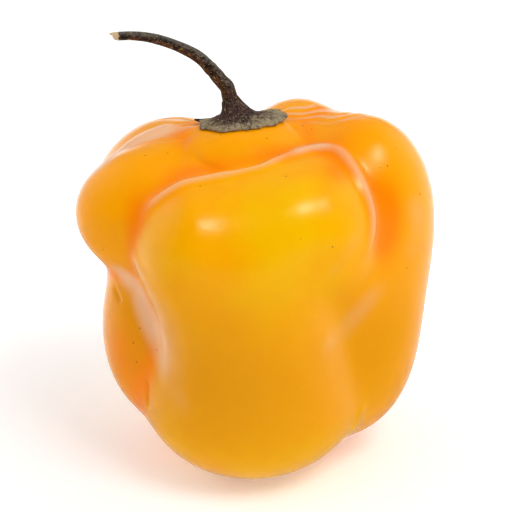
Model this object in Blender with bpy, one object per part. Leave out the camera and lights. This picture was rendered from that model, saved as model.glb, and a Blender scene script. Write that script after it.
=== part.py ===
# A blocky, thick-walled chilli pepper, yellow to orange, standing on its blossom end.
# Units are metres, +Z is up, and the fruit's front lobe faces -Y.
# The pod's skin is a formula: a few rounded swellings melt into each lobe, and the lobes meet in soft creases.

import math

import bmesh
import bpy
import numpy as np
from mathutils import Matrix, Vector

NAME = "chilli_pepper"
GAP = 0.0003  # between pieces that touch on the real fruit

# The pod. Each direction of its skin is looked for from the heart.
HEART = np.array([0.0, 0.0, 0.0310])
NEAREST_SKIN = 0.012
FURTHEST_SKIN = 0.046
POD_FINENESS = 5  # subdivisions of the ball that the pod starts as
FINE_NEAR = 0.0030  # the ball is cut finer this near to a ridge's line
BASE_CUT = 0.0009  # how much of the lobes' low points is pressed flat
CREASE = 0.0016  # how softly two lobes meet
OFFSET = 0.0009  # what the soft meetings add all round, taken off again

# Each lobe: how softly its swellings run together, and their centres and half sizes.
# A swelling with a third place is a bar from the first to the third.
LOBES = {
    "crown": (0.0030, [
        ((0.0015, 0.0034, 0.0435), (0.0118, 0.0104, 0.0165)),
        ((-0.0065, 0.0040, 0.0440), (0.0100, 0.0095, 0.0135)),
        ((-0.0164, -0.0022, 0.0458), (0.0143, 0.0102, 0.0116)),
    ]),
    "front": (0.0030, [
        ((-0.0094, -0.0096, 0.0430), (0.0104, 0.0126, 0.0119), (0.0100, -0.0050, 0.0450)),
        ((-0.0010, -0.0075, 0.0310), (0.0134, 0.0146, 0.0175)),
        ((-0.0005, -0.0075, 0.0220), (0.0144, 0.0148, 0.0155)),
        ((-0.0008, -0.0078, 0.0146), (0.0184, 0.0146, 0.0146)),
    ]),
    "back_left": (0.0030, [
        ((-0.0135, 0.0094, 0.0424), (0.0152, 0.0140, 0.0159)),
        ((-0.0180, -0.0030, 0.0250), (0.0082, 0.0096, 0.0140)),
        ((-0.0110, 0.0040, 0.0206), (0.0130, 0.0140, 0.0160)),
    ]),
    "back": (0.0025, [
        ((0.0070, 0.0135, 0.0380), (0.0135, 0.0145, 0.0225)),
        ((0.0040, 0.0110, 0.0200), (0.0135, 0.0145, 0.0205)),
    ]),
    "right": (0.0040, [
        ((0.0190, 0.0018, 0.0450), (0.0096, 0.0088, 0.0142)),
        ((0.0135, 0.0090, 0.0420), (0.0120, 0.0110, 0.0154)),
        ((0.0166, 0.0025, 0.0360), (0.0098, 0.0096, 0.0150)),
        ((0.0180, -0.0015, 0.0250), (0.0084, 0.0095, 0.0136)),
        ((0.0124, 0.0020, 0.0162), (0.0122, 0.0125, 0.0136)),
    ]),
}

# Soft round humps on the skin, or pits where the height is negative: centres, radii and heights.
HUMPS = {
    "left_pit": ((-0.0210, -0.0085, 0.0250), (0.0050, 0.0070, 0.0080), -0.0008),
    "right_pit": ((0.0212, -0.0105, 0.0280), (0.0050, 0.0055, 0.0058), -0.0011),
    "saddle": ((-0.0005, -0.0170, 0.0515), (0.0045, 0.0040, 0.0040), -0.0004),
    "crown_hollow": ((-0.0125, -0.0050, 0.0570), (0.0040, 0.0035, 0.0040), -0.0008),
    "left_hump": ((-0.0106, -0.0178, 0.0508), (0.0040, 0.0045, 0.0045), 0.0005),
    "right_hump": ((0.0082, -0.0150, 0.0525), (0.0045, 0.0045, 0.0045), 0.0005),
    "groove_end": ((0.0170, -0.0120, 0.0360), (0.0050, 0.0050, 0.0060), 0.0010),
}

# Ridges drawn on the skin, or creases where the height is negative:
# the points of the centre line, the width, the height and the share of the line that fades out.
RIDGES = {
    "rim": (
        [
            (-0.0190, -0.0132, 0.0478), (-0.0172, -0.0124, 0.0512), (-0.0141, -0.0118, 0.0534),
            (-0.0105, -0.0105, 0.0548), (-0.0050, -0.0089, 0.0553), (0.0010, -0.0070, 0.0561),
            (0.0047, -0.0045, 0.0570), (0.0090, -0.0020, 0.0575), (0.0127, -0.0032, 0.0575),
            (0.0153, -0.0061, 0.0557), (0.0172, -0.0085, 0.0525), (0.0182, -0.0102, 0.0480),
            (0.0173, -0.0118, 0.0438), (0.0150, -0.0135, 0.0411),
        ],
        0.0013, 0.00050, 0.12,
    ),
    "left_flank": (
        [
            (-0.0200, -0.0127, 0.0465), (-0.0198, -0.0128, 0.0431), (-0.0185, -0.0138, 0.0409),
            (-0.0165, -0.0155, 0.0380), (-0.0152, -0.0145, 0.0310), (-0.0145, -0.0154, 0.0278),
            (-0.0144, -0.0161, 0.0240), (-0.0151, -0.0161, 0.0203),
        ],
        0.0010, 0.00030, 0.20,
    ),
    "right_flank": (
        [
            (0.0262, -0.0068, 0.0378), (0.0226, -0.0098, 0.0363), (0.0193, -0.0112, 0.0357),
            (0.0169, -0.0119, 0.0333), (0.0156, -0.0123, 0.0308), (0.0148, -0.0132, 0.0270),
            (0.0145, -0.0143, 0.0238),
        ],
        0.0016, 0.00055, 0.25,
    ),
    "streak": (
        [(0.0136, -0.0137, 0.0296), (0.0111, -0.0170, 0.0287), (0.0078, -0.0204, 0.0272)],
        0.0016, 0.00025, 0.30,
    ),
    "right_notch": (
        [(0.0181, -0.0120, 0.0161), (0.0169, -0.0115, 0.0120), (0.0162, -0.0093, 0.0084)],
        0.0009, 0.00030, 0.25,
    ),
}
LINE_STEPS = 5  # straight lengths between two points of a ridge's line

# The calyx: a plate draped over the crown, and the neck that rises from it.
CROWN_LOW = 0.0500
CROWN_HIGH = 0.0660
NECK_FOOT = (-0.0032, 0.0046)
NECK_LEAN = -0.0011  # how far the top of the neck stands to one side of its foot
NECK_TILT = math.radians(33)  # the way the top of the neck faces
NECK_HEIGHT = 0.0037
FLARE_HEIGHT = 0.0012  # below this the neck has spread into the plate
BACK_LIFT = 0.0015  # the plate's far edge curls up
BACK_LIFT_AZIMUTH = math.radians(50)
CALYX_COLUMNS = 44

# The plate's corners: azimuth in degrees round the neck's foot, and reach from it.
CALYX_CORNERS = (
    (9, 0.0087),
    (27, 0.0084),
    (60, 0.0064),
    (105, 0.0058),
    (154, 0.0068),
    (198, 0.0062),
    (238, 0.0055),
    (284, 0.0049),
    (335, 0.0072),
)

# The calyx's rings from the neck's top to the middle of the underside: the radius round the neck,
# the share of the way from there out to the plate's edge, and the height over the crown.
CALYX_RINGS = (
    (0.00125, 0.00, NECK_HEIGHT),
    (0.00145, 0.00, 0.0032),
    (0.00170, 0.00, 0.0026),
    (0.00205, 0.00, 0.0021),
    (0.00255, 0.00, 0.0016),
    (0.00310, 0.05, FLARE_HEIGHT),
    (0.00310, 0.40, 0.0010),
    (0.00310, 0.75, 0.0009),
    (0.00310, 0.96, 0.0009),
    (0.00310, 1.00, 0.0007),
    (0.00310, 0.97, GAP),
    (0.00310, 0.60, GAP),
    (0.00310, 0.20, GAP),
    (0.00150, 0.00, GAP),
)

# The stem's centre line after the neck, with its radius at each point, to the torn end.
STEM_START_RADIUS = 0.00125
STEM_POINTS = (
    ((-0.0049, 0.0047, 0.0649), 0.00124),
    ((-0.0059, 0.0048, 0.0662), 0.00122),
    ((-0.0069, 0.0049, 0.0675), 0.00119),
    ((-0.0080, 0.0050, 0.0686), 0.00114),
    ((-0.0093, 0.0051, 0.0698), 0.00108),
    ((-0.0110, 0.0050, 0.0710), 0.00101),
    ((-0.0137, 0.0046, 0.0724), 0.00095),
    ((-0.0168, 0.0041, 0.0735), 0.00090),
    ((-0.0201, 0.0035, 0.0742), 0.00083),
    ((-0.0233, 0.0030, 0.0744), 0.00077),
)
STEM_STEPS = 4  # lengths between two points of the centre line
STEM_BEVEL_STEPS = 3

# Colour, roughness and metallic value of each piece.
FINISHES = {
    "pod": ((0.84, 0.34, 0.01), 0.30, 0.0),
    "calyx": ((0.16, 0.09, 0.065), 0.85, 0.0),
    "stem": ((0.085, 0.050, 0.032), 0.80, 0.0),
}


def soft_max(values, softness):
    """The largest of the values, rounded off where two of them are nearly alike."""
    top = np.max(values, axis=0)
    return top + softness * np.log(sum(np.exp((value - top) / softness) for value in values))


def depth_in_swelling(points, centre, half, end=None):
    """How deep the points lie in one rounded swelling or bar, negative outside."""
    half = np.array(half)
    away = (points - np.array(centre)) / half
    if end is not None:
        along = (np.array(end) - np.array(centre)) / half
        share = np.clip(away @ along / (along @ along), 0, 1)
        away = away - share[..., None] * along
    return (1 - np.linalg.norm(away, axis=-1)) * half.mean()


def depth_in_pod(points):
    """How deep the points lie under the pod's skin, negative outside."""
    lobes = [
        soft_max([depth_in_swelling(points, *swelling) for swelling in swellings], melt)
        for melt, swellings in LOBES.values()
    ]
    depth = soft_max(lobes, CREASE) - OFFSET
    for centre, radii, height in HUMPS.values():
        away = (points - np.array(centre)) / np.array(radii)
        depth = depth + height * np.exp(-(away**2).sum(axis=-1))
    return depth


def smooth_line(knots):
    """A Catmull-Rom line through the knots, as points."""
    knots = [np.array(knot) for knot in knots]
    padded = [2 * knots[0] - knots[1], *knots, 2 * knots[-1] - knots[-2]]
    line = []
    for before, first, last, after in zip(padded, padded[1:], padded[2:], padded[3:]):
        for step in range(LINE_STEPS):
            share = step / LINE_STEPS
            line.append(0.5 * (
                2 * first + (last - before) * share
                + (2 * before - 5 * first + 4 * last - after) * share**2
                + (3 * first - before - 3 * last + after) * share**3
            ))
    return np.array([*line, knots[-1]])


def near_line(points, line):
    """How far each point is from the line, and the share of the line that is passed there."""
    nearest = np.full(len(points), np.inf)
    passed = np.zeros(len(points))
    for index, (first, last) in enumerate(zip(line, line[1:])):
        along = last - first
        share = np.clip((points - first) @ along / (along @ along), 0, 1)
        away = np.linalg.norm(points - first - share[:, None] * along, axis=1)
        passed = np.where(away < nearest, (index + share) / (len(line) - 1), passed)
        nearest = np.minimum(nearest, away)
    return nearest, passed


def ridge_heights(points):
    """How far the ridges lift the skin at the points, and how near the nearest ridge is."""
    heights = np.zeros(len(points))
    nearest = np.full(len(points), np.inf)
    for knots, width, height, fade in RIDGES.values():
        away, passed = near_line(points, smooth_line(knots))
        ends = np.clip(np.minimum(passed, 1 - passed) / fade, 0, 1)
        heights += height * ends**2 * (3 - 2 * ends) * np.exp(-((away / width) ** 2))
        nearest = np.minimum(nearest, away)
    return heights, nearest


def halve_to_skin(points_at, inner, outer):
    """The distances at which points_at leaves the pod, found by halving between inner and outer."""
    for _ in range(24):
        middle = (inner + outer) / 2
        inside = depth_in_pod(points_at(middle)) > 0
        inner = np.where(inside, middle, inner)
        outer = np.where(inside, outer, middle)
    return (inner + outer) / 2


def skin_points(directions):
    """Where rays from the heart leave the pod."""
    near = np.full(len(directions), NEAREST_SKIN)
    far = np.full(len(directions), FURTHEST_SKIN)

    def points_at(distance):
        return HEART + directions * distance[:, None]

    return points_at(halve_to_skin(points_at, near, far))


def crown_heights(places):
    """The height of the crown's skin over each place in plan."""
    low = np.full(len(places), CROWN_LOW)
    high = np.full(len(places), CROWN_HIGH)

    def points_at(height):
        return np.column_stack([places, height])

    return halve_to_skin(points_at, low, high)


def clear_scene():
    for obj in list(bpy.data.objects):
        bpy.data.objects.remove(obj, do_unlink=True)


def new_collection(name):
    collection = bpy.data.collections.new(name)
    bpy.context.scene.collection.children.link(collection)
    return collection


def finish_for(name):
    colour, roughness, metallic = FINISHES[name]
    material = bpy.data.materials.new(name)
    material.use_nodes = True
    shader = material.node_tree.nodes["Principled BSDF"]
    shader.inputs["Base Color"].default_value = (*colour, 1.0)
    shader.inputs["Roughness"].default_value = roughness
    shader.inputs["Metallic"].default_value = metallic
    return material


def add_object(name, data, collection):
    obj = bpy.data.objects.new(name, data)
    collection.objects.link(obj)
    return obj


def directions_of(ball):
    return np.array([vert.co.normalized() for vert in ball.verts])


def make_pod(collection, cutters):
    ball = bmesh.new()
    bmesh.ops.create_icosphere(ball, subdivisions=POD_FINENESS, radius=1.0)
    near = ridge_heights(skin_points(directions_of(ball)))[1] < FINE_NEAR
    edges = [edge for edge in ball.edges if all(near[vert.index] for vert in edge.verts)]
    bmesh.ops.subdivide_edges(ball, edges=edges, cuts=1, use_grid_fill=True)
    bmesh.ops.triangulate(ball, faces=ball.faces)
    directions = directions_of(ball)
    places = skin_points(directions)
    places += directions * ridge_heights(places)[0][:, None]
    for vert, place in zip(ball.verts, places):
        vert.co = place
    mesh = bpy.data.meshes.new("pod")
    ball.to_mesh(mesh)
    ball.free()
    mesh.shade_smooth()
    pod = add_object("pod", mesh, collection)
    pod.data.materials.append(finish_for("pod"))

    cut = pod.modifiers.new("flat feet", "BOOLEAN")
    cut.object = make_base_cutter(cutters)
    cut.operation = "DIFFERENCE"
    cut.solver = "EXACT"
    return pod


def make_base_cutter(collection):
    """A slab whose top is the surface that the pod stands on."""
    side = 3 * FURTHEST_SKIN
    slab = bmesh.new()
    bmesh.ops.create_cube(slab, size=1.0)
    bmesh.ops.scale(slab, vec=(side, side, HEART[2]), verts=slab.verts)
    bmesh.ops.translate(slab, vec=(0, 0, BASE_CUT - HEART[2] / 2), verts=slab.verts)
    mesh = bpy.data.meshes.new("base_cutter")
    slab.to_mesh(mesh)
    slab.free()
    cutter = add_object("base_cutter", mesh, collection)
    cutter.hide_render = True
    cutter.display_type = "WIRE"
    return cutter


def plate_reach(azimuth):
    """How far the plate's edge lies from the neck's foot: straight lines between its corners."""
    corners = [(math.radians(degrees), reach) for degrees, reach in CALYX_CORNERS]
    corners.append((corners[0][0] + math.tau, corners[0][1]))
    azimuth %= math.tau
    if azimuth < corners[0][0]:
        azimuth += math.tau
    for (first, first_reach), (second, second_reach) in zip(corners, corners[1:]):
        if first <= azimuth <= second:
            span = math.sin(second - first) * first_reach * second_reach
            return span / (
                math.sin(second - azimuth) * second_reach + math.sin(azimuth - first) * first_reach
            )


def neck_top():
    """The middle of the neck's top, and the direction in which it faces."""
    foot = crown_heights(np.array([NECK_FOOT]))[0]
    centre = Vector((NECK_FOOT[0] + NECK_LEAN, NECK_FOOT[1], foot + NECK_HEIGHT))
    return centre, Vector((-math.sin(NECK_TILT), 0, math.cos(NECK_TILT)))


def calyx_place(ring, azimuth):
    """One corner of the calyx's mesh, before it is draped: its offset from the neck's foot."""
    radius, share, height = ring
    spread = radius + share * (plate_reach(azimuth) - radius)
    offset = Vector((spread * math.cos(azimuth), spread * math.sin(azimuth), 0))
    up_neck = max(0.0, (height - FLARE_HEIGHT) / (NECK_HEIGHT - FLARE_HEIGHT))
    offset.rotate(Matrix.Rotation(-NECK_TILT * up_neck, 3, "Y"))
    lift = BACK_LIFT * share**2 * max(0.0, math.cos(azimuth - BACK_LIFT_AZIMUTH)) ** 2
    return offset + Vector((NECK_LEAN * up_neck, 0, height + lift))


def drape(offsets):
    """The offsets set on the crown. The higher up the neck, the less they follow the crown's slope."""
    plan = np.array([(NECK_FOOT[0] + offset.x, NECK_FOOT[1] + offset.y) for offset in offsets])
    heights = crown_heights(plan)
    foot = crown_heights(np.array([NECK_FOOT]))[0]
    for place, height, offset in zip(plan, heights, offsets):
        up_neck = min(1.0, max(0.0, (offset.z - FLARE_HEIGHT) / FLARE_HEIGHT))
        yield Vector((place[0], place[1], offset.z + height + (foot - height) * up_neck))


def make_calyx(collection):
    rows = len(CALYX_RINGS) + 1
    ball = bmesh.new()
    bmesh.ops.create_uvsphere(ball, u_segments=CALYX_COLUMNS, v_segments=rows, radius=1.0)
    offsets = []
    for vert in ball.verts:
        row = round(math.acos(max(-1.0, min(1.0, vert.co.z))) / math.pi * rows)
        if row in (0, rows):
            height = CALYX_RINGS[0 if row == 0 else -1][2]
            offsets.append(calyx_place((0.0, 0.0, height), 0.0))
        else:
            offsets.append(calyx_place(CALYX_RINGS[row - 1], math.atan2(vert.co.y, vert.co.x)))
    for vert, place in zip(ball.verts, drape(offsets)):
        vert.co = place
    mesh = bpy.data.meshes.new("calyx")
    ball.to_mesh(mesh)
    ball.free()
    mesh.shade_smooth()
    calyx = add_object("calyx", mesh, collection)
    calyx.data.materials.append(finish_for("calyx"))
    return calyx


def make_stem(collection):
    centre, facing = neck_top()
    points = [(centre + facing * GAP, STEM_START_RADIUS), *STEM_POINTS]
    curve = bpy.data.curves.new("stem", "CURVE")
    curve.dimensions = "3D"
    curve.bevel_depth = 1.0
    curve.bevel_resolution = STEM_BEVEL_STEPS
    curve.resolution_u = STEM_STEPS
    curve.use_fill_caps = True
    spline = curve.splines.new("BEZIER")
    spline.bezier_points.add(len(points) - 1)
    for point, (place, radius) in zip(spline.bezier_points, points):
        point.co = place
        point.radius = radius
        point.handle_left_type = point.handle_right_type = "AUTO"
    stem = add_object("stem", curve, collection)
    stem.data.materials.append(finish_for("stem"))
    return stem


def box_centre(objects):
    """The middle in plan of the pieces' common box, and its lowest height."""
    graph = bpy.context.evaluated_depsgraph_get()
    corners = [Vector(c) for obj in objects for c in obj.evaluated_get(graph).bound_box]
    low = [min(corner[axis] for corner in corners) for axis in range(3)]
    high = [max(corner[axis] for corner in corners) for axis in range(3)]
    return Vector(((low[0] + high[0]) / 2, (low[1] + high[1]) / 2, low[2]))


def main():
    clear_scene()
    collection = new_collection(NAME)
    cutters = new_collection(NAME + "_cutters")
    pod = make_pod(collection, cutters)
    calyx = make_calyx(collection)
    stem = make_stem(collection)

    # The frame's origin is under the middle of the whole, on the surface that it stands on.
    bpy.context.view_layer.update()
    stand = add_object(NAME + "_stand", None, collection)
    stand.location = -box_centre([pod, calyx, stem])
    for obj in (pod, calyx, stem, *cutters.objects):
        obj.parent = stand
    bpy.context.view_layer.update()


main()
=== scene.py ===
# A blocky, lobed chilli pepper: golden waxy skin, dry grey-brown calyx and a bent woody stem.
# Everything is in metres. The front lobe faces -Y, which is also where the camera stands.
import math

import bpy
import numpy as np
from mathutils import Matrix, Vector


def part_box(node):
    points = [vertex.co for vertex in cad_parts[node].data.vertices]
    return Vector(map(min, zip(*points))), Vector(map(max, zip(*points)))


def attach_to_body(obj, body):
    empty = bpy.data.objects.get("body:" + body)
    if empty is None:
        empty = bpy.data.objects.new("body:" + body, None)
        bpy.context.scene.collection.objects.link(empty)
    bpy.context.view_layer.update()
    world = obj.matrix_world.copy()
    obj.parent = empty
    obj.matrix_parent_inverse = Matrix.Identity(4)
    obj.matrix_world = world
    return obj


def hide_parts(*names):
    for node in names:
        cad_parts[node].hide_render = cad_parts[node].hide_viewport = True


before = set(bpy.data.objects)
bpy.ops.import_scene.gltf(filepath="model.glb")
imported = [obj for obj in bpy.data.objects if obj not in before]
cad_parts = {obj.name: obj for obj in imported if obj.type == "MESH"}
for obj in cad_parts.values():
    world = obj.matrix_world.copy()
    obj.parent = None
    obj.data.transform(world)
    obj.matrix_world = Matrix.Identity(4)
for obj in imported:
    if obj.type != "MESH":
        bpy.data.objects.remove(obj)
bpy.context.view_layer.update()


# Small helpers

class Wire:  # one socket of a shader, so that sums on it add Math nodes
    def __init__(self, tree, socket=None):
        self.tree = tree
        self.socket = socket

    def node(self, kind, settings=None, sockets=None, output=0):
        made = self.tree.nodes.new(kind)
        for name, value in (settings or {}).items():
            setattr(made, name, value)
        for name, value in (sockets or {}).items():
            if isinstance(value, Wire):
                self.tree.links.new(value.socket, made.inputs[name])
            else:
                made.inputs[name].default_value = value
        return Wire(self.tree, made.outputs[output])

    def maths(self, operation, *values):
        return self.node("ShaderNodeMath", {"operation": operation}, dict(enumerate(values)))

    def __add__(self, other):
        return self.maths("ADD", self, other)

    def __radd__(self, other):
        return self.maths("ADD", other, self)

    def __sub__(self, other):
        return self.maths("SUBTRACT", self, other)

    def __rsub__(self, other):
        return self.maths("SUBTRACT", other, self)

    def __mul__(self, other):
        return self.maths("MULTIPLY", self, other)

    def __rmul__(self, other):
        return self.maths("MULTIPLY", other, self)

    def attribute(self, name):
        return self.node("ShaderNodeAttribute", {"attribute_name": name}, output="Fac")

    def step(self, low, high):  # 0 below low, 1 above high, smooth between
        return self.node(
            "ShaderNodeMapRange", {"interpolation_type": "SMOOTHSTEP"},
            {"Value": self, "From Min": low, "From Max": high},
        )

    def blend(self, first, second):  # a colour between two, with this wire as the factor
        return self.node("ShaderNodeMix", {"data_type": "RGBA"}, {0: self, 6: first, 7: second}, 2)

    def noise(self, size, detail=2.0, roughness=0.5, stretch=(1, 1, 1)):  # this wire is the place
        place = self.node("ShaderNodeMapping", None, {"Vector": self, "Scale": stretch})
        return self.node(
            "ShaderNodeTexNoise", None,
            {"Vector": place, "Scale": 1 / size, "Detail": detail, "Roughness": roughness},
        )


def rgb(red, green, blue):  # a screen colour, 0 to 255, as the shader's linear one
    def linear(value):
        value /= 255
        return value / 12.92 if value <= 0.04045 else ((value + 0.055) / 1.055) ** 2.4
    return (linear(red), linear(green), linear(blue), 1.0)


def newMaterial(name):
    material = bpy.data.materials.new(name)
    material.use_nodes = True
    shader = material.node_tree.nodes["Principled BSDF"]
    return material, shader, Wire(material.node_tree)


def feed(shader, **wires):  # links wires to a shader's sockets, named with _ for a space
    for name, wire in wires.items():
        wire.tree.links.new(wire.socket, shader.inputs[name.replace("_", " ")])


def clearSelection():
    if bpy.context.mode != "OBJECT":
        bpy.ops.object.mode_set(mode="OBJECT")
    bpy.ops.object.select_all(action="DESELECT")


def attach(piece, node):  # a finished piece that stands for a CAD node
    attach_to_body(piece, "root")
    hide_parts(node)


# Pod: a ball moved out to where rays from its heart leave the lobes, as the CAD pod is.

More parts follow.
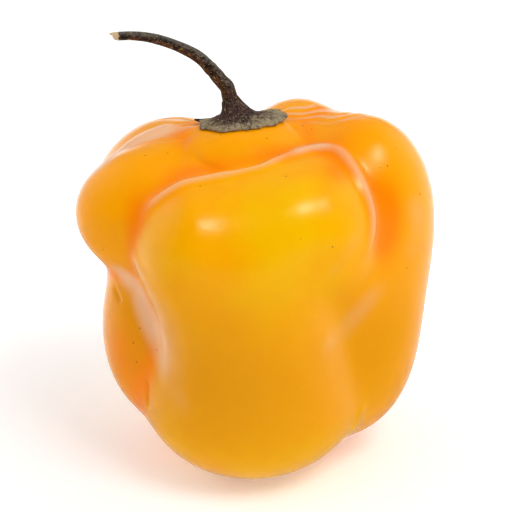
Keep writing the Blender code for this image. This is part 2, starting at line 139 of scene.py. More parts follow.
pod = {
    "ballDetail": 7,
    "crownFrom": 0.0510,  # the skin above this height is cut finer, for its wrinkles
    "fineNear": 0.0016,  # and so is the skin this near to a stroke's line
    "inset": 0.00008,  # keeps the fine skin inside the flat-faced CAD pod
    "heart": (0.0, 0.0, 0.0310),
    "nearest": 0.012,
    "furthest": 0.046,
    "baseCut": 0.0009,
    "offset": 0.0009,
    "crease": 0.0016,
    "lobes": {  # how softly each lobe's swellings melt together, and their centres and half sizes
        "crown": (0.0030, [
            ((0.0015, 0.0034, 0.0435), (0.0118, 0.0104, 0.0165)),
            ((-0.0065, 0.0040, 0.0440), (0.0100, 0.0095, 0.0135)),
            ((-0.0164, -0.0022, 0.0458), (0.0143, 0.0102, 0.0116)),
        ]),
        "front": (0.0030, [
            ((-0.0094, -0.0096, 0.0430), (0.0104, 0.0126, 0.0119), (0.0100, -0.0050, 0.0450)),  # a bar
            ((-0.0010, -0.0075, 0.0310), (0.0134, 0.0146, 0.0175)),
            ((-0.0005, -0.0075, 0.0220), (0.0144, 0.0148, 0.0155)),
            ((-0.0008, -0.0078, 0.0146), (0.0184, 0.0146, 0.0146)),
        ]),
        "backLeft": (0.0030, [
            ((-0.0135, 0.0094, 0.0424), (0.0152, 0.0140, 0.0159)),
            ((-0.0180, -0.0030, 0.0250), (0.0082, 0.0096, 0.0140)),
            ((-0.0110, 0.0040, 0.0206), (0.0130, 0.0140, 0.0160)),
        ]),
        "back": (0.0025, [
            ((0.0070, 0.0135, 0.0380), (0.0135, 0.0145, 0.0225)),
            ((0.0040, 0.0110, 0.0200), (0.0135, 0.0145, 0.0205)),
        ]),
        "right": (0.0040, [
            ((0.0190, 0.0018, 0.0450), (0.0096, 0.0088, 0.0142)),
            ((0.0135, 0.0090, 0.0420), (0.0120, 0.0110, 0.0154)),
            ((0.0166, 0.0025, 0.0360), (0.0098, 0.0096, 0.0150)),
            ((0.0180, -0.0015, 0.0250), (0.0084, 0.0095, 0.0136)),
            ((0.0124, 0.0020, 0.0162), (0.0122, 0.0125, 0.0136)),
        ]),
    },
    "dents": [  # centre, radii and depth
        ((-0.0210, -0.0085, 0.0250), (0.0050, 0.0070, 0.0080), 0.0008),
        ((0.0212, -0.0105, 0.0280), (0.0050, 0.0055, 0.0058), 0.0011),
        ((-0.0125, -0.0050, 0.0570), (0.0040, 0.0035, 0.0040), 0.0008),
    ],
    "humps": [  # low bulges: centre, radii and height
        ((-0.0107, -0.0178, 0.0506), (0.0038, 0.0065, 0.0075), 0.0008),
        ((0.0066, -0.0155, 0.0520), (0.0055, 0.0075, 0.0080), 0.0009),
        ((0.0170, -0.0120, 0.0360), (0.0050, 0.0050, 0.0060), 0.0010),  # where the right groove ends
        ((-0.0035, -0.0022, 0.0574), (0.0065, 0.0028, 0.0030), 0.0009),  # the knob before the calyx
    ],
    "shadesAndBlushes": [  # deeper orange places beside the grooves and in the pits and hollows, painted shade together with the pepper's own deeper orange: centre, radii and strength
        ((0.0208, -0.0085, 0.0480), (0.0036, 0.0045, 0.0080), 1.3),
        ((0.0126, -0.0082, 0.0552), (0.0028, 0.0030, 0.0036), 0.8),
        ((-0.0128, -0.0135, 0.0528), (0.0036, 0.0036, 0.0034), 0.5),
        ((0.0120, -0.0025, 0.0583), (0.0040, 0.0030, 0.0030), 0.4),
        ((-0.0115, -0.0065, 0.0555), (0.0050, 0.0030, 0.0030), 0.4),
        ((-0.0118, 0.0002, 0.0577), (0.0025, 0.0035, 0.0020), 0.7),
        ((-0.0195, -0.0105, 0.0500), (0.0025, 0.0040, 0.0050), 0.6),
        ((0.0040, -0.0040, 0.0566), (0.0050, 0.0030, 0.0030), 0.3),
        ((0.0150, 0.0040, 0.0600), (0.0060, 0.0070, 0.0040), 0.5),
        ((-0.0215, -0.0085, 0.0230), (0.0050, 0.0060, 0.0080), 0.8),
    ],
    "sheenBands": [  # paler bands along edges and folds, a painted reflection of the bright room: the line, its width and strength
        ([(0.0157, -0.0113, 0.0519), (0.0164, -0.0134, 0.0477), (0.0142, -0.0158, 0.0443),
          (0.0117, -0.0167, 0.0414), (0.0088, -0.0180, 0.0382)], 0.0030, 0.50),
        ([(0.0266, -0.0059, 0.0386), (0.0209, -0.0109, 0.0359), (0.0156, -0.0128, 0.0310),
          (0.0136, -0.0138, 0.0297), (0.0106, -0.0180, 0.0289), (0.0078, -0.0205, 0.0272)], 0.0045, 0.34),
        ([(0.0241, -0.0039, 0.0540), (0.0258, -0.0048, 0.0491), (0.0264, -0.0055, 0.0442),
          (0.0255, -0.0069, 0.0394), (0.0250, -0.0077, 0.0324)], 0.0036, 0.65),
        ([(-0.0270, -0.0045, 0.0415), (-0.0243, -0.0077, 0.0394), (-0.0230, -0.0079, 0.0385),
          (-0.0213, -0.0085, 0.0371), (-0.0194, -0.0099, 0.0358), (-0.0184, -0.0109, 0.0332),
          (-0.0172, -0.0121, 0.0301), (-0.0163, -0.0134, 0.0262), (-0.0156, -0.0154, 0.0216),
          (-0.0154, -0.0165, 0.0170)], 0.0024, 1.40),
        ([(-0.0178, -0.0155, 0.0450), (-0.0173, -0.0165, 0.0435), (-0.0152, -0.0179, 0.0375),
          (-0.0132, -0.0171, 0.0281), (-0.0123, -0.0194, 0.0202), (-0.0115, -0.0199, 0.0149),
          (-0.0100, -0.0190, 0.0080)], 0.0044, 0.50),
        ([(-0.0280, -0.0070, 0.0460), (-0.0285, -0.0047, 0.0491), (-0.0279, -0.0013, 0.0511),
          (-0.0257, -0.0010, 0.0534), (-0.0235, 0.0010, 0.0542), (-0.0200, 0.0045, 0.0555),
          (-0.0172, 0.0050, 0.0567), (-0.0145, 0.0052, 0.0575), (-0.0110, 0.0052, 0.0579),
          (-0.0070, 0.0048, 0.0580)], 0.0027, 1.80),
        ([(0.0050, -0.0045, 0.0570), (0.0085, -0.0018, 0.0576), (0.0127, -0.0028, 0.0577)], 0.0013, 0.9),
    ],
    "rightFoot": ((0.0200, -0.0080, 0.0200), (0.0120, 0.0140, 0.0160)),  # where the right lobe turns golden
    "knob": ((-0.0030, -0.0035, 0.0572), (0.0045, 0.0022, 0.0022)),  # and the crown before the calyx
    "sunny": [  # the yellowest places: centre, radii and strength
        ((0.0045, -0.0190, 0.0455), (0.0080, 0.0120, 0.0125), 0.50),
        ((0.0030, -0.0180, 0.0070), (0.0170, 0.0120, 0.0070), 0.50),
    ],
    "strokes": {  # ridges and creases drawn on the skin: line, width, height, share that fades out
        "rim": (
            [(-0.0190, -0.0132, 0.0478), (-0.0172, -0.0124, 0.0512), (-0.0141, -0.0118, 0.0534),
             (-0.0105, -0.0105, 0.0548), (-0.0050, -0.0089, 0.0553), (0.0010, -0.0070, 0.0561),
             (0.0047, -0.0045, 0.0570), (0.0090, -0.0020, 0.0575), (0.0127, -0.0032, 0.0575),
             (0.0153, -0.0061, 0.0557), (0.0172, -0.0085, 0.0525), (0.0182, -0.0102, 0.0480),
             (0.0173, -0.0118, 0.0438), (0.0150, -0.0135, 0.0411)], 0.0011, 0.00080, 0.12),
        "leftFlank": (
            [(-0.0200, -0.0127, 0.0465), (-0.0198, -0.0128, 0.0431), (-0.0185, -0.0138, 0.0409),
             (-0.0165, -0.0155, 0.0380), (-0.0152, -0.0145, 0.0310), (-0.0145, -0.0154, 0.0278),
             (-0.0144, -0.0161, 0.0240), (-0.0151, -0.0161, 0.0203)], 0.0017, 0.00050, 0.30),
        "rightFlank": (
            [(0.0262, -0.0068, 0.0378), (0.0226, -0.0098, 0.0363), (0.0193, -0.0112, 0.0357),
             (0.0169, -0.0119, 0.0333), (0.0156, -0.0123, 0.0308), (0.0148, -0.0132, 0.0270),
             (0.0145, -0.0143, 0.0238)], 0.0028, 0.00032, 0.45),
        "streak": ([(0.0136, -0.0137, 0.0296), (0.0111, -0.0170, 0.0287), (0.0078, -0.0204, 0.0272)],
                   0.0022, 0.00020, 0.45),
        "rightNotch": ([(0.0181, -0.0120, 0.0161), (0.0169, -0.0115, 0.0120), (0.0162, -0.0093, 0.0084)],
                       0.0009, 0.00030, 0.25),
        "shoulder": (
            [(-0.0252, -0.0020, 0.0537), (-0.0240, 0.0015, 0.0545), (-0.0220, 0.0040, 0.0549),
             (-0.0200, 0.0049, 0.0555), (-0.0172, 0.0054, 0.0567), (-0.0145, 0.0062, 0.0575),
             (-0.0117, 0.0065, 0.0579)], 0.0013, 0.00060, 0.25),
        "knobCrease": (
            [(-0.0107, -0.0003, 0.0577), (-0.0097, -0.0042, 0.0561), (-0.0070, -0.0064, 0.0556),
             (-0.0039, -0.0075, 0.0558), (-0.0001, -0.0066, 0.0562), (0.0035, -0.0044, 0.0566)],
            0.0008, -0.00045, 0.25),
        "crownCrease": (
            [(-0.0104, 0.0030, 0.0579), (-0.0118, 0.0004, 0.0577), (-0.0120, -0.0030, 0.0568),
             (-0.0105, -0.0052, 0.0558)], 0.0010, -0.00040, 0.30),
        "leftCrease": ([(-0.0181, -0.0129, 0.0203), (-0.0180, -0.0131, 0.0174), (-0.0177, -0.0129, 0.0143)],
                       0.00045, -0.00035, 0.25),
        "waistCrease": ([(-0.0239, -0.0058, 0.0345), (-0.0233, -0.0070, 0.0334), (-0.0223, -0.0087, 0.0323)],
                        0.00050, -0.00040, 0.25),
        "foldFront": ([(0.0086, -0.0004, 0.0581), (0.0063, -0.0024, 0.0577), (0.0038, -0.0043, 0.0572),
                       (0.0008, -0.0055, 0.0568)], 0.00060, -0.00050, 0.25),
        "foldBack": ([(0.0086, -0.0004, 0.0581), (0.0072, 0.0015, 0.0588), (0.0051, 0.0057, 0.0594)],
                     0.00060, -0.00050, 0.25),
    },
    "wrinkles": [  # azimuth, spread, nearest and furthest reach, waves in a full turn, depth
        (25.0, 38.0, 0.0070, 0.0240, 29, 0.00040),
        (168.0, 26.0, 0.0055, 0.0170, 31, 0.00042),
        (275.0, 50.0, 0.0045, 0.0100, 23, 0.00012),
    ],
    "melting": 0.0025,  # how far the front lobe's gold runs into its neighbours
    "grooveWidth": 0.0022,  # how near two lobes are to equal where the groove gets its painted shade of deep orange
    "sheenBandsFade": 0.35,
    "tintedRidge": 0.0004,  # the heights at which ridges, wrinkles and the whole pod count as 1; ridges and wrinkles are paled by them as painted highlights
    "tintedWrinkle": 0.0002,
    "tall": 0.06,
    "colours": {
        "gold": rgb(250, 169, 0),
        "orange": rgb(255, 164, 0),
        # the darker orange for the painted shade in grooves and hollows, and for fine flecks
        "deep": rgb(255, 133, 0),
        "lemon": rgb(249, 187, 0),
        "sheen": rgb(255, 244, 218),
        # painted shade: a darker amber for the lower middle of the pod
        "amberShade": rgb(234, 154, 0),
        # painted reflection: the pinkish-white sheen for the pod's edges, folds, ridges and wrinkles
        "paleFleckAndSheen": rgb(244, 191, 148),
        "speck": rgb(96, 44, 8),
    },
}


def softMax(values, softness):
    top = np.max(values, axis=0)
    return top + softness * np.log(sum(np.exp((value - top) / softness) for value in values))


def swellingDepth(points, centre, half, end=None):  # a ball, or a bar where an end is given
    half = np.array(half)
    away = (points - np.array(centre)) / half
    if end is not None:
        along = (np.array(end) - np.array(centre)) / half
        share = np.clip(away @ along / (along @ along), 0, 1)
        away = away - share[..., None] * along
    return (1 - np.linalg.norm(away, axis=-1)) * half.mean()


def lobeDepths(points):
    return {
        name: softMax([swellingDepth(points, *swelling) for swelling in swellings], melt)
        for name, (melt, swellings) in pod["lobes"].items()
    }


def hump(points, places):  # the summed heights of soft round humps
    total = np.zeros(len(points))
    for centre, radii, height in places:
        away = (points - np.array(centre)) / np.array(radii)
        total += height * np.exp(-(away**2).sum(axis=-1))
    return total


def podDepth(points):  # how deep the points lie under the skin, negative outside
    depth = softMax(list(lobeDepths(points).values()), pod["crease"])
    return depth - pod["offset"] - hump(points, pod["dents"]) + hump(points, pod["humps"])


def halveToSkin(pointsAt, inner, outer):
    for _ in range(22):
        middle = (inner + outer) / 2
        inside = podDepth(pointsAt(middle)) > 0
        inner = np.where(inside, middle, inner)
        outer = np.where(inside, outer, middle)
    return (inner + outer) / 2


def smoothLine(points, steps=5):  # a Catmull-Rom line through the points
    points = [np.array(point) for point in points]
    padded = [2 * points[0] - points[1], *points, 2 * points[-1] - points[-2]]
    line = []
    for before, first, last, after in zip(padded, padded[1:], padded[2:], padded[3:]):
        for step in range(steps):
            share = step / steps
            line.append(0.5 * (
                2 * first + (last - before) * share
                + (2 * before - 5 * first + 4 * last - after) * share**2
                + (3 * first - before - 3 * last + after) * share**3
            ))
    return np.array([*line, points[-1]])


def nearLine(points, line):  # how far each point is from the line, and the share of the line passed there
    nearest = np.full(len(points), 1.0)
    passed = np.zeros(len(points))
    for index, (first, last) in enumerate(zip(line, line[1:])):
        along = last - first
        share = np.clip((points - first) @ along / (along @ along), 0, 1)
        away = np.linalg.norm(points - first - share[:, None] * along, axis=1)
        passed = np.where(away < nearest, (index + share) / (len(line) - 1), passed)
        nearest = np.minimum(nearest, away)
    return nearest, passed


def brush(points, knots, width, fade):  # 1 on a line through the knots, falling off to its sides and ends
    line = smoothLine(knots)
    low = line.min(axis=0) - 3 * width
    high = line.max(axis=0) + 3 * width
    close = np.flatnonzero(((points > low) & (points < high)).all(axis=1))
    away, passed = nearLine(points[close], line)
    ends = np.clip(np.minimum(passed, 1 - passed) / fade, 0, 1)
    share = np.zeros(len(points))
    share[close] = ends**2 * (3 - 2 * ends) * np.exp(-((away / width) ** 2))
    nearest = np.full(len(points), 1.0)
    nearest[close] = away
    return share, nearest


def strokeHeights(points):
    heights = np.zeros(len(points))
    nearest = np.full(len(points), 1.0)
    for knots, width, height, fade in pod["strokes"].values():
        share, away = brush(points, knots, width, fade)
        heights += height * share
        nearest = np.minimum(nearest, away)
    return heights, nearest


def wrinkleHeights(points):  # fine waves that run outwards over the crown from the calyx
    heights = np.zeros(len(points))
    for azimuth, width, near, far, count, depth in pod["wrinkles"]:
        away = points[:, :2] - np.array(calyx["foot"])
        reach = np.hypot(away[:, 0], away[:, 1])
        around = np.arctan2(away[:, 1], away[:, 0])
        within = np.clip((reach - near) / 0.0020, 0, 1) * np.clip((far - reach) / 0.0060, 0, 1)
        within *= nearAzimuth(around, azimuth, width) * (points[:, 2] > pod["crownFrom"])
        sway = 2.6 * np.sin(4 * around + 420 * reach) + 1.4 * np.sin(9 * around - 700 * reach)
        uneven = 0.55 + 0.45 * np.sin(6 * around + 350 * reach + 1.0)
        heights -= depth * within * uneven * (0.5 + 0.5 * np.cos(count * around + sway)) ** 2
    return heights


def skinPoints(directions):
    heart = np.array(pod["heart"])

    def pointsAt(distance):
        return heart + directions * distance[:, None]

    near = np.full(len(directions), pod["nearest"])
    far = np.full(len(directions), pod["furthest"])
    return pointsAt(halveToSkin(pointsAt, near, far))


def readPoints(mesh):
    points = np.empty(len(mesh.vertices) * 3)
    mesh.vertices.foreach_get("co", points)
    return points.reshape(-1, 3)


def readDirections(mesh):
    points = readPoints(mesh)
    return points / np.linalg.norm(points, axis=1)[:, None]


def addAttribute(mesh, name, values):
    layer = mesh.attributes.new(name, "FLOAT", "POINT")
    layer.data.foreach_set("value", np.asarray(values, dtype=np.float32))


def standShift(points):  # from the formula's place to the CAD model's
    low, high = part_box("pod")
    middle = (points.max(axis=0) + points.min(axis=0)) / 2
    return np.array([(low.x + high.x) / 2 - middle[0], (low.y + high.y) / 2 - middle[1], -pod["baseCut"]])


def cutFiner(piece):  # subdivides the crown and the skin along the strokes
    mesh = piece.data
    points = skinPoints(readDirections(mesh))
    fine = (points[:, 2] > pod["crownFrom"]) | (strokeHeights(points)[1] < pod["fineNear"])
    bpy.ops.object.mode_set(mode="EDIT")
    bpy.ops.mesh.select_mode(type="VERT")
    bpy.ops.mesh.select_all(action="DESELECT")
    bpy.ops.object.mode_set(mode="OBJECT")
    mesh.vertices.foreach_set("select", fine)
    bpy.ops.object.mode_set(mode="EDIT")
    bpy.ops.mesh.subdivide(number_cuts=1)
    bpy.ops.mesh.quads_convert_to_tris()
    bpy.ops.object.mode_set(mode="OBJECT")


def makePod():
    clearSelection()
    bpy.ops.mesh.primitive_ico_sphere_add(subdivisions=pod["ballDetail"], radius=1.0, location=(0, 0, 0))
    piece = bpy.context.object
    piece.name = "podSkin"
    cutFiner(piece)
    mesh = piece.data
    directions = readDirections(mesh)
    points = skinPoints(directions)
    shift = standShift(points)

    lobes = np.array(list(lobeDepths(points).values()))
    front = list(pod["lobes"]).index("front")
    share = np.exp((lobes - lobes.max(axis=0)) / pod["melting"])
    ordered = np.sort(lobes, axis=0)
    heights = strokeHeights(points)[0]
    foot = hump(points, [(*pod["rightFoot"], 1.0)])
    golden = share[front] / share.sum(axis=0) + 0.65 * foot + hump(points, [(*pod["knob"], 0.35)])
    addAttribute(mesh, "golden", golden)
    addAttribute(mesh, "sunny", hump(points, pod["sunny"]))
    # painted shade: deeper orange where two lobes meet in a crease, less at the right groove's end, the right foot
    # and the knob
    groove = np.exp(-(((ordered[-1] - ordered[-2]) / pod["grooveWidth"]) ** 2))
    groove *= (1 - np.clip(hump(points, pod["humps"][2:3]) / 0.0005, 0, 1)) * (1 - 0.8 * np.clip(2 * foot, 0, 1))
    groove *= 1 - 0.5 * hump(points, [(*pod["knob"], 1.0)])
    addAttribute(mesh, "shadeAndBlush", 0.7 * groove + hump(points, pod["shadesAndBlushes"]))
    # painted reflection: pale sheen bands along edges and folds
    fade = pod["sheenBandsFade"]
    paintedSheen = sum(strength * brush(points, knots, width, fade)[0] for knots, width, strength in pod["sheenBands"])
    addAttribute(mesh, "paintedSheen", paintedSheen)
    # the ridge heights, used to pale the raised ridges as a painted highlight
    addAttribute(mesh, "ridge", heights / pod["tintedRidge"])
    wrinkles = wrinkleHeights(points)
    # the wrinkle depths, used to pale the crown's wrinkles as a painted sheen
    addAttribute(mesh, "wrinkle", -wrinkles / pod["tintedWrinkle"])
    addAttribute(mesh, "rise", points[:, 2] / pod["tall"])
    heights += wrinkles

    points = points + directions * (heights - pod["inset"])[:, None] + shift
    points[:, 2] = np.maximum(points[:, 2], pod["inset"])
    mesh.vertices.foreach_set("co", points.ravel())
    mesh.update()
    mesh.shade_smooth()
    mesh.materials.append(skinMaterial())
    attach(piece, "pod")
    print("pod:", len(mesh.polygons), "faces")
    return shift


def skinMaterial():
    colours = pod["colours"]
    material, shader, start = newMaterial("waxySkin")
    place = start.node("ShaderNodeTexCoord", output="Object")
    front = start.attribute("golden")
    shadeAndBlush = start.attribute("shadeAndBlush")
    ridge = start.attribute("ridge")
    rise = start.attribute("rise")
    cloudy = place.noise(0.012, 3.0)
    streaky = place.noise(0.0040, 2.0, 0.5, (1, 1, 0.15))
    flecked = place.noise(0.0009, 2.0)
    golden = (front * (0.85 + 0.3 * cloudy)).step(0.45, 1.0)
    base = golden.blend(colours["orange"], colours["gold"])
    sunny = start.attribute("sunny") + cloudy + 0.35 * streaky
    base = (golden * sunny.step(0.58, 1.15)).blend(base, colours["lemon"])
    # painted shade: darker amber round the lower middle of the pod, fading out towards the top and the very bottom
    base = ((1 - rise.step(0.35, 0.85)) * rise.step(-0.05, 0.45)).blend(base, colours["amberShade"])
    # painted shade: grooves, pits and crown hollows deepened to a darker orange, along with the pepper's own deeper
    # orange
    base = (shadeAndBlush + 0.4 * cloudy).step(0.25, 1.45).blend(base, colours["deep"])
    # painted reflection: pale sheen bands along edges and folds, patchy with the cloudy noise
    paintedSheen = start.attribute("paintedSheen") * (0.5 + cloudy)
    # painted highlight: ridges, sheen bands and cloudy patches blended toward the pale sheen
    base = ((0.7 * ridge + 0.3 * cloudy + 1.2 * paintedSheen).step(0.5, 2.2) * 0.9).blend(base, colours["paleFleckAndSheen"])
    # painted sheen along the crown's wrinkles
    base = (start.attribute("wrinkle").step(0.2, 1.3) * 0.6).blend(base, colours["paleFleckAndSheen"])
    base = (flecked.step(0.55, 0.75) * 0.07).blend(base, colours["deep"])
    specks = place.node("ShaderNodeTexVoronoi", None, {"Vector": place, "Scale": 1 / 0.0022}, "Distance")
    spotty = place.noise(0.007, 1.0) + 0.13 * rise.step(0.55, 0.85) - 0.14 * golden
    base = ((1 - specks.step(0.03, 0.075)) * spotty.step(0.55, 0.61)).blend(base, colours["speck"])
    relief = start.node(
        "ShaderNodeBump", None,
        {"Height": cloudy + 0.15 * flecked, "Strength": 0.08, "Distance": 0.002},
    )
    feed(shader, Base_Color=base, Normal=relief)
    shader.inputs["Roughness"].default_value = 0.22
    shader.inputs["Specular IOR Level"].default_value = 0.24
    shader.inputs["Specular Tint"].default_value = colours["sheen"]
    return material


# Calyx: a dry plate draped over the crown, with the neck rising from it, as in the CAD model.

calyx = {
    "columns": 240,
    "rows": 72,
    "foot": (-0.0032, 0.0046),
    "lean": -0.0013,
    "tilt": 33.0,
    "height": 0.0037,
    "flare": 0.0012,
    "backLift": 0.0007,
    "backAzimuth": 50.0,
    "crownRange": (0.050, 0.066),
    "corners": [  # azimuth in degrees round the neck's foot, and reach from it
        (9, 0.0087), (27, 0.0084), (60, 0.0063), (105, 0.0057), (154, 0.0067),
        (198, 0.0063), (238, 0.0058), (284, 0.0053), (335, 0.0072),
    ],
    "rings": [  # radius round the neck, share of the way to the plate's edge, height over the crown
        (0.00128, 0.00, 0.0037), (0.00148, 0.00, 0.0032), (0.00170, 0.00, 0.0026), (0.00200, 0.00, 0.0021),
        (0.00242, 0.00, 0.0015), (0.00300, 0.05, 0.0010), (0.00305, 0.30, 0.0008), (0.00305, 0.55, 0.0006),
        (0.00305, 0.80, 0.0005), (0.00305, 0.96, 0.0005), (0.00305, 1.00, 0.0003), (0.00305, 0.97, 0.0001),
        (0.00305, 0.50, 0.0001), (0.00150, 0.00, 0.0001),
    ],
    "jags": [(7, 0.00018, 0.4), (17, 0.00010, 2.1), (29, 0.00006, 5.0), (47, 0.00004, 1.0), (71, 0.00003, 4.0)],
    "furrows": [(5, 0.00010, 0.9), (11, 0.00005, 2.6), (23, 0.00004, 0.2), (52, 0.00003, 1.7)],
    "tooth": {"azimuth": 168.0, "width": 5.0, "reach": 0.0012, "lift": 0.0005},
    "deepest": 0.0004,  # twice the depth at which a furrow counts as 0
    "colours": {
        "bark": rgb(92, 68, 60),
        "plum": rgb(50, 34, 31),
        "grey": rgb(164, 148, 116),
        "moss": rgb(172, 154, 104),
        "paleFleckAndSheen": rgb(196, 178, 140),
        "rust": rgb(124, 78, 38),
        "dark": rgb(34, 24, 20),
    },
}


def waves(azimuth, terms):
    return sum(size * np.cos(count * azimuth + turn) for count, size, turn in terms)


def nearAzimuth(azimuth, middle, width):  # 1 at the middle, falling off to both sides
    away = (np.degrees(azimuth) - middle + 180) % 360 - 180
    return np.exp(-((away / width) ** 2))


def plateReach(azimuth):  # straight lines between the corners
    corners = [(math.radians(degrees), reach) for degrees, reach in calyx["corners"]]
    corners.append((corners[0][0] + math.tau, corners[0][1]))
    azimuth = azimuth % math.tau
    azimuth = np.where(azimuth < corners[0][0], azimuth + math.tau, azimuth)
    reach = np.zeros(len(azimuth))
    for (first, firstReach), (second, secondReach) in zip(corners, corners[1:]):
        between = (azimuth >= first) & (azimuth <= second)
        span = math.sin(second - first) * firstReach * secondReach
        slant = np.sin(second - azimuth) * secondReach + np.sin(azimuth - first) * firstReach
        reach[between] = (span / slant)[between]
    return reach


def crownHeights(plan):
    def pointsAt(height):
        return np.column_stack([plan, height])

    low, high = calyx["crownRange"]
    return halveToSkin(pointsAt, np.full(len(plan), low), np.full(len(plan), high))


def readRows(mesh, rows):  # which row of a UV sphere each corner is in, and its azimuth
    directions = readDirections(mesh)
    row = np.arccos(np.clip(directions[:, 2], -1, 1)) / math.pi * rows
    return row, np.arctan2(directions[:, 1], directions[:, 0])


def makeCalyx(shift):
    clearSelection()
    rows = calyx["rows"]
    bpy.ops.mesh.primitive_uv_sphere_add(
        segments=calyx["columns"], ring_count=rows, radius=1.0, location=(0, 0, 0),
    )
    piece = bpy.context.object
    piece.name = "calyxPlate"
    mesh = piece.data
    row, azimuth = readRows(mesh, rows)
    rings = np.array(calyx["rings"])
    place = np.clip(row - 1, 0, rows - 2) / (rows - 2) * (len(rings) - 1)
    radius, share, height = (np.interp(place, np.arange(len(rings)), rings[:, axis]) for axis in range(3))
    radius[(row < 0.5) | (row > rows - 0.5)] = 0.0
    onTop = np.clip((11 - place) / 2, 0, 1)

    tooth = calyx["tooth"]
    jut = nearAzimuth(azimuth, tooth["azimuth"], tooth["width"]) * share**3
    reach = plateReach(azimuth) + waves(azimuth, calyx["jags"]) + tooth["reach"] * jut
    furrow = waves(azimuth + 0.5 * share, calyx["furrows"]) * onTop
    upNeck = np.clip((height - calyx["flare"]) / (calyx["height"] - calyx["flare"]), 0, 1)
    spread = radius + share * (reach - radius) + furrow * (share == 0) * (radius > 0)
    turn = math.radians(calyx["tilt"]) * upNeck
    across = spread * np.cos(azimuth) * np.cos(turn) + calyx["lean"] * upNeck
    along = spread * np.sin(azimuth)
    backward = np.clip(np.cos(azimuth - math.radians(calyx["backAzimuth"])), 0, 1) ** 2
    rise = height + spread * np.cos(azimuth) * np.sin(turn) + calyx["backLift"] * share**2 * backward
    rise += furrow * np.sin(math.pi * np.clip(share, 0, 1)) + tooth["lift"] * jut

    plan = np.column_stack([calyx["foot"][0] + across, calyx["foot"][1] + along])
    heights = crownHeights(plan)
    foot = crownHeights(np.array([calyx["foot"]]))[0]
    follow = 1 - np.clip((rise - calyx["flare"]) / calyx["flare"], 0, 1) * (share < 0.3)
    points = np.column_stack([plan, rise + foot + (heights - foot) * follow]) + shift
    mesh.vertices.foreach_set("co", points.ravel())
    mesh.update()
    addAttribute(mesh, "share", share)
    addAttribute(mesh, "furrow", 0.5 + furrow / calyx["deepest"])
    addAttribute(mesh, "back", backward * share)
    addAttribute(mesh, "tooth", jut)
    addAttribute(mesh, "east", np.cos(azimuth))
    addAttribute(mesh, "north", np.sin(azimuth))
    mesh.shade_smooth()
    mesh.materials.append(calyxMaterial())
    attach(piece, "calyx")
    top = (calyx["foot"][0] + calyx["lean"], calyx["foot"][1], foot + calyx["height"])
    print("calyx:", len(mesh.polygons), "faces")
    return np.array(top)


def calyxMaterial():
    colours = calyx["colours"]
    material, shader, start = newMaterial("dryCalyx")
    place = start.node("ShaderNodeTexCoord", output="Object")
    share = start.attribute("share")
    furrow = start.attribute("furrow")
    mottle = place.noise(0.0014, 4.0, 0.65)
    fine = place.noise(0.00035, 3.0, 0.6)
    scaly = place.noise(0.0006, 4.0, 0.75)
    spokes = start.node(
        "ShaderNodeCombineXYZ", None,
        {"X": start.attribute("east"), "Y": start.attribute("north"), "Z": 0.25 * share},
    ).noise(0.11, 4.0, 0.65)
    base = scaly.step(0.42, 0.62).blend(colours["plum"], colours["bark"])
    base = ((0.7 * share + mottle + 0.6 * scaly).step(0.85, 1.35) * 0.9).blend(base, colours["grey"])
    base = ((start.attribute("back") + 0.5 * mottle).step(0.65, 1.1) * 0.7).blend(base, colours["moss"])
    base = (fine.step(0.56, 0.66) * 0.6).blend(base, colours["paleFleckAndSheen"])
    base = ((1 - fine.step(0.34, 0.42)) * 0.6).blend(base, colours["rust"])
    base = ((1 - scaly.step(0.34, 0.46)) * 0.8).blend(base, colours["dark"])
    base = ((1 - spokes.step(0.36, 0.50)) * 0.75).blend(base, colours["plum"])
    # painted shade: the deeper furrows round the neck darkened
    base = ((1 - furrow.step(0.0, 0.35)) * 0.4).blend(base, colours["dark"])
    base = start.attribute("tooth").step(0.25, 0.6).blend(base, colours["dark"])
    relief = start.node(
        "ShaderNodeBump", None,
        {"Height": scaly + 0.5 * fine + spokes, "Strength": 0.9, "Distance": 0.0003},
    )
    feed(shader, Base_Color=base, Normal=relief)
    shader.inputs["Roughness"].default_value = 0.8
    shader.inputs["Specular IOR Level"].default_value = 0.25
    return material


# Stem: a bent woody rod with ridged bark, torn off at its far end.

stem = {
    "columns": 64,
    "rows": 300,
    "sunk": 0.0007,  # how deep the rod starts inside the neck
    "startRadius": 0.00124,
    "line": [  # the middle of the rod after the neck, and its radius there
        ((-0.0047, 0.0047, 0.0649), 0.00120), ((-0.0057, 0.0048, 0.0662), 0.00113),
        ((-0.0067, 0.0049, 0.0675), 0.00108), ((-0.0078, 0.0050, 0.0687), 0.00102),
        ((-0.0091, 0.0051, 0.0699), 0.00096), ((-0.0109, 0.0050, 0.0712), 0.00090),
        ((-0.0137, 0.0046, 0.0726), 0.00083), ((-0.0168, 0.0041, 0.0737), 0.00077),
        ((-0.0201, 0.0035, 0.0743), 0.00071), ((-0.0234, 0.0030, 0.0744), 0.00067),
    ],
    "furrows": [(3, 0.030, 1.0, 3.0), (7, 0.025, 2.0, -5.0), (13, 0.025, 0.5, 4.0), (22, 0.015, 1.5, 0.0)],
    "knots": [(0.36, 0.02, 0.04), (0.55, 0.03, 0.04), (0.78, 0.02, 0.05)],
    "tornFrom": 0.955,
    "tear": 0.0005,  # how uneven the torn end is
    "tearBack": 0.0004,  # and how far it draws back
    "colours": {
        "bark": rgb(56, 40, 30),
        # painted light: a lighter, warmer brown for the lower side, as light bounced up from the orange pod
        "underside": rgb(92, 54, 30),
        # a grey for the painted sheen on the stem's upper side, where the overhead light falls
        "grey": rgb(100, 94, 86),
        "root": rgb(62, 44, 38),
        "speck": rgb(190, 152, 96),
        "dark": rgb(24, 17, 13),
        "core": rgb(216, 186, 146),
    },
}


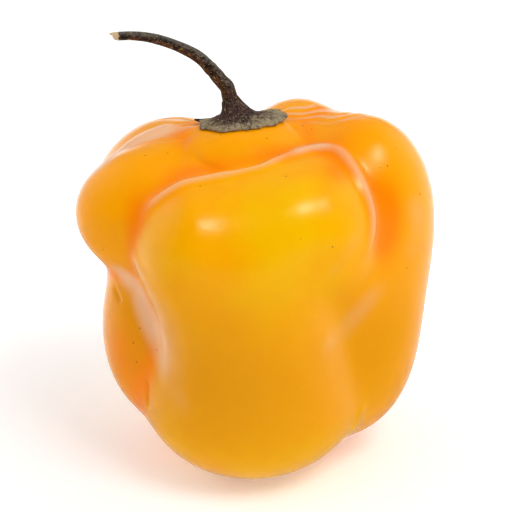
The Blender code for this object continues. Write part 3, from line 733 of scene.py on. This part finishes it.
def makeStem(neckTop, shift):
    clearSelection()
    rows = stem["rows"]
    bpy.ops.mesh.primitive_uv_sphere_add(
        segments=stem["columns"], ring_count=rows, radius=1.0, location=(0, 0, 0),
    )
    piece = bpy.context.object
    piece.name = "stemRod"
    mesh = piece.data
    row, around = readRows(mesh, rows)
    tilt = math.radians(calyx["tilt"])
    start = neckTop - np.array([-math.sin(tilt), 0, math.cos(tilt)]) * stem["sunk"]
    knots = [start, *(place for place, radius in stem["line"])]
    radii = [stem["startRadius"], *(radius for place, radius in stem["line"])]
    line = smoothLine(knots, 12)
    passed = np.clip(row - 1, 0, rows - 2) / (rows - 2)
    stations = np.linspace(0, 1, len(line))
    middle = np.column_stack([np.interp(passed, stations, line[:, axis]) for axis in range(3)])
    ahead = np.gradient(line, axis=0)
    ahead = np.column_stack([np.interp(passed, stations, ahead[:, axis]) for axis in range(3)])
    ahead /= np.linalg.norm(ahead, axis=1)[:, None]
    side = np.cross(ahead, (0.0, 1.0, 0.0))
    side /= np.linalg.norm(side, axis=1)[:, None]
    across = np.cross(side, ahead)

    radius = np.interp(passed, np.linspace(0, 1, len(radii)), radii)
    for count, size, turn, twist in stem["furrows"]:
        radius *= 1 + size * np.cos(count * around + turn + twist * passed * math.tau)
    for knot, width, size in stem["knots"]:
        radius *= 1 + size * np.exp(-(((passed - knot) / width) ** 2))
    radius[(row < 0.5) | (row > rows - 0.5)] = 0.0
    torn = np.clip((passed - stem["tornFrom"]) / (1 - stem["tornFrom"]), 0, 1)
    radius *= 1 - 0.25 * torn**3
    upper = side[:, 2] * np.cos(around) + across[:, 2] * np.sin(around)
    slip = stem["tear"] * torn**2 * (upper + 0.35 * np.cos(5 * around) + 0.25 * np.cos(11 * around))
    points = middle + side * (radius * np.cos(around))[:, None] + across * (radius * np.sin(around))[:, None]
    points += ahead * (slip - stem["tearBack"] * torn**2)[:, None] + shift
    mesh.vertices.foreach_set("co", points.ravel())
    mesh.update()
    addAttribute(mesh, "upper", upper)
    addAttribute(mesh, "torn", torn)
    addAttribute(mesh, "passed", passed)
    mesh.shade_smooth()
    mesh.materials.append(stemMaterial())
    attach(piece, "stem")
    print("stem:", len(mesh.polygons), "faces")


def stemMaterial():
    colours = stem["colours"]
    material, shader, start = newMaterial("woodyStem")
    place = start.node("ShaderNodeTexCoord", output="Object")
    upper = start.attribute("upper")
    bark = place.noise(0.0006, 4.0, 0.75, (0.5, 1, 1))
    fine = place.noise(0.00028, 3.0, 0.6, (0.6, 1, 1))
    # painted light: the lower side turned warmer brown as bounced light from the pod, mottled with the bark
    base = (bark - 0.2 * upper).step(0.40, 0.62).blend(colours["bark"], colours["underside"])
    # painted highlight: grey sheen on the stem's upper side, broken up by the bark noise
    base = ((upper + 1.6 * bark).step(0.9, 1.6) * 0.8).blend(base, colours["grey"])
    base = (1 - bark.step(0.40, 0.52)).blend(base, colours["dark"])
    base = ((1 - start.attribute("passed").step(0.0, 0.20)) * 0.7).blend(base, colours["root"])
    base = (fine.step(0.58, 0.66) * 0.75).blend(base, colours["speck"])
    base = (start.attribute("torn") + 0.6 * (bark - 0.5)).step(0.08, 0.22).blend(base, colours["core"])
    relief = start.node(
        "ShaderNodeBump", None,
        {"Height": bark + 0.5 * fine, "Strength": 0.9, "Distance": 0.0004},
    )
    feed(shader, Base_Color=base, Normal=relief)
    shader.inputs["Roughness"].default_value = 0.75
    shader.inputs["Specular IOR Level"].default_value = 0.25
    return material


# Studio

studio = {
    "elevation": 25.0,
    "distance": 0.324,
    "lens": 135.0,
    "aimLift": 0.0053,  # how far above the heart the camera aims, up the picture
    "floorSide": 4.0,
    "floorDrop": 0.0001,
    "floorColour": (0.90, 0.90, 0.90, 1.0),
    "floorGlow": 0.25,
    "softboxDistance": 0.60,
    "softboxes": {  # azimuth to the right of the camera, elevation, size and power
        "key": (46.0, 56.0, 0.26, 1.3),
    },
    "gleams": {  # softboxes that are seen only where the skin mirrors them
        "gleamCore": (46.0, 56.0, 0.12, 0.45),
        "gleamMiddle": (46.0, 56.0, 0.21, 0.65),
        "gleamEdge": (46.0, 56.0, 0.32, 0.70),
    },
    "fillAngle": 150.0,  # an even light from above the camera, which the skin doesn't mirror
    "fillElevation": 58.0,
    "fillPower": 1.28,
    "backGlow": 1.45,  # the room behind and beside the pepper
    "overheadDark": 0.75,  # how much of that is missing high up straight behind it
    "frontGlow": 0.02,  # and in front, where it's nearly dark
}


def aimAt(item, target):
    item.rotation_euler = (target - item.location).to_track_quat("-Z", "Y").to_euler()


def makeCamera(heart):
    slope = math.radians(studio["elevation"])
    up = Vector((0, math.sin(slope), math.cos(slope)))
    back = Vector((0, -math.cos(slope), math.sin(slope)))
    camera = bpy.data.objects.new("camera", bpy.data.cameras.new("camera"))
    bpy.context.scene.collection.objects.link(camera)
    target = heart + up * studio["aimLift"]
    camera.location = target + back * studio["distance"]
    aimAt(camera, target)
    camera.data.lens = studio["lens"]
    camera.data.clip_start = 0.01
    bpy.context.scene.camera = camera


def makeSoftbox(name, heart, azimuth, elevation, size, power):
    side = math.radians(azimuth)
    rise = math.radians(elevation)
    toLight = Vector((math.sin(side) * math.cos(rise), -math.cos(side) * math.cos(rise), math.sin(rise)))
    light = bpy.data.lights.new(name, "AREA")
    light.shape = "DISK"
    light.size = size
    light.energy = power
    lamp = bpy.data.objects.new(name, light)
    bpy.context.scene.collection.objects.link(lamp)
    lamp.location = heart + toLight * studio["softboxDistance"]
    aimAt(lamp, heart)
    return lamp


def makeFillLight():
    light = bpy.data.lights.new("skyPanel", "SUN")
    light.energy = studio["fillPower"]
    light.angle = math.radians(studio["fillAngle"])
    light.cycles.use_multiple_importance_sampling = False
    lamp = bpy.data.objects.new("skyPanel", light)
    bpy.context.scene.collection.objects.link(lamp)
    lamp.rotation_euler = (math.radians(90 - studio["fillElevation"]), 0, 0)
    lamp.visible_glossy = False


def makeFloor():
    clearSelection()
    bpy.ops.mesh.primitive_plane_add(size=studio["floorSide"], location=(0, 0, 0))
    floor = bpy.context.object
    floor.name = "floor"
    floor.data.transform(floor.matrix_world)
    floor.location = (0, 0, -studio["floorDrop"])
    material, shader, _ = newMaterial("paleFloor")
    shader.inputs["Base Color"].default_value = studio["floorColour"]
    shader.inputs["Roughness"].default_value = 1.0
    shader.inputs["Specular IOR Level"].default_value = 0.0
    shader.inputs["Emission Color"].default_value = (1, 1, 1, 1)
    shader.inputs["Emission Strength"].default_value = studio["floorGlow"]
    floor.data.materials.append(material)
    floor.visible_glossy = False


def makeWorld():
    world = bpy.data.worlds.new("paleStudio")
    bpy.context.scene.world = world
    world.use_nodes = True
    start = Wire(world.node_tree)
    background = world.node_tree.nodes["Background"]
    direction = start.node("ShaderNodeTexCoord", output="Generated")
    side, depth, height = (start.node("ShaderNodeSeparateXYZ", None, {"Vector": direction}, axis) for axis in "XYZ")
    overhead = height.step(-0.10, 0.25) * (1 - side.maths("ABSOLUTE", side).step(0.30, 0.80))
    beneath = 1 - height.step(-0.70, -0.35)
    behind = depth.step(-0.70, 0.60) * (1 - studio["overheadDark"] * overhead) * (1 - 0.7 * beneath)
    glow = behind * (studio["backGlow"] - studio["frontGlow"]) + studio["frontGlow"]
    seen = start.node("ShaderNodeLightPath", output="Is Camera Ray")
    level = seen + (1 - seen) * glow
    world.node_tree.links.new(level.socket, background.inputs["Strength"])
    background.inputs["Color"].default_value = (1, 1, 1, 1)


bpy.context.scene.view_settings.view_transform = "Standard"
shift = makePod()
neckTop = makeCalyx(shift)
makeStem(neckTop, shift)
heart = Vector(np.array(pod["heart"]) + shift)
makeFloor()
makeCamera(heart)
for name, settings in studio["softboxes"].items():
    makeSoftbox(name, heart, *settings).visible_glossy = False
for name, settings in studio["gleams"].items():
    makeSoftbox(name, heart, *settings).visible_diffuse = False
makeFillLight()
makeWorld()
print("studio: camera, lights, floor and room")
